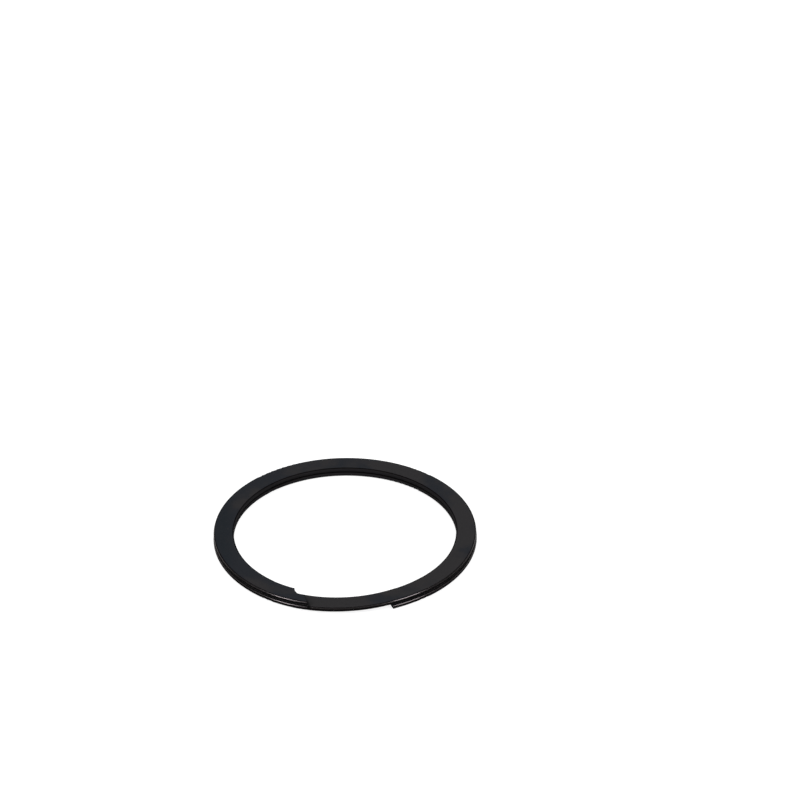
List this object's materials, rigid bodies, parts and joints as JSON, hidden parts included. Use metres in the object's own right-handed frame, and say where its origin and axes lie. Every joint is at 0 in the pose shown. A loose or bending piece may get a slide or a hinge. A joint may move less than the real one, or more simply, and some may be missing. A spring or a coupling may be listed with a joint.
{
  "type": "retaining ring",
  "caption": "Spiral retaining ring for a shaft: flat steel wire wound on edge in two turns, with a removal notch at its upper end.",
  "frame": {"origin": "on the axis of the bore, in the plane that the ring lies on", "axes": "+Z along the axis, from the lower turn to the upper one; -Y towards the front, where the two ends and the ramp lie"},
  "size_m": [0.0545, 0.0544, 0.0024],
  "materials": {
    "black_steel": "spring steel with a thin, lightly oiled black oxide, satin on the flat faces and brighter on the rounded edges"
  },
  "bodies": {
    "root": {"retaining_ring": "black_steel"}
  },
  "joints": []
}
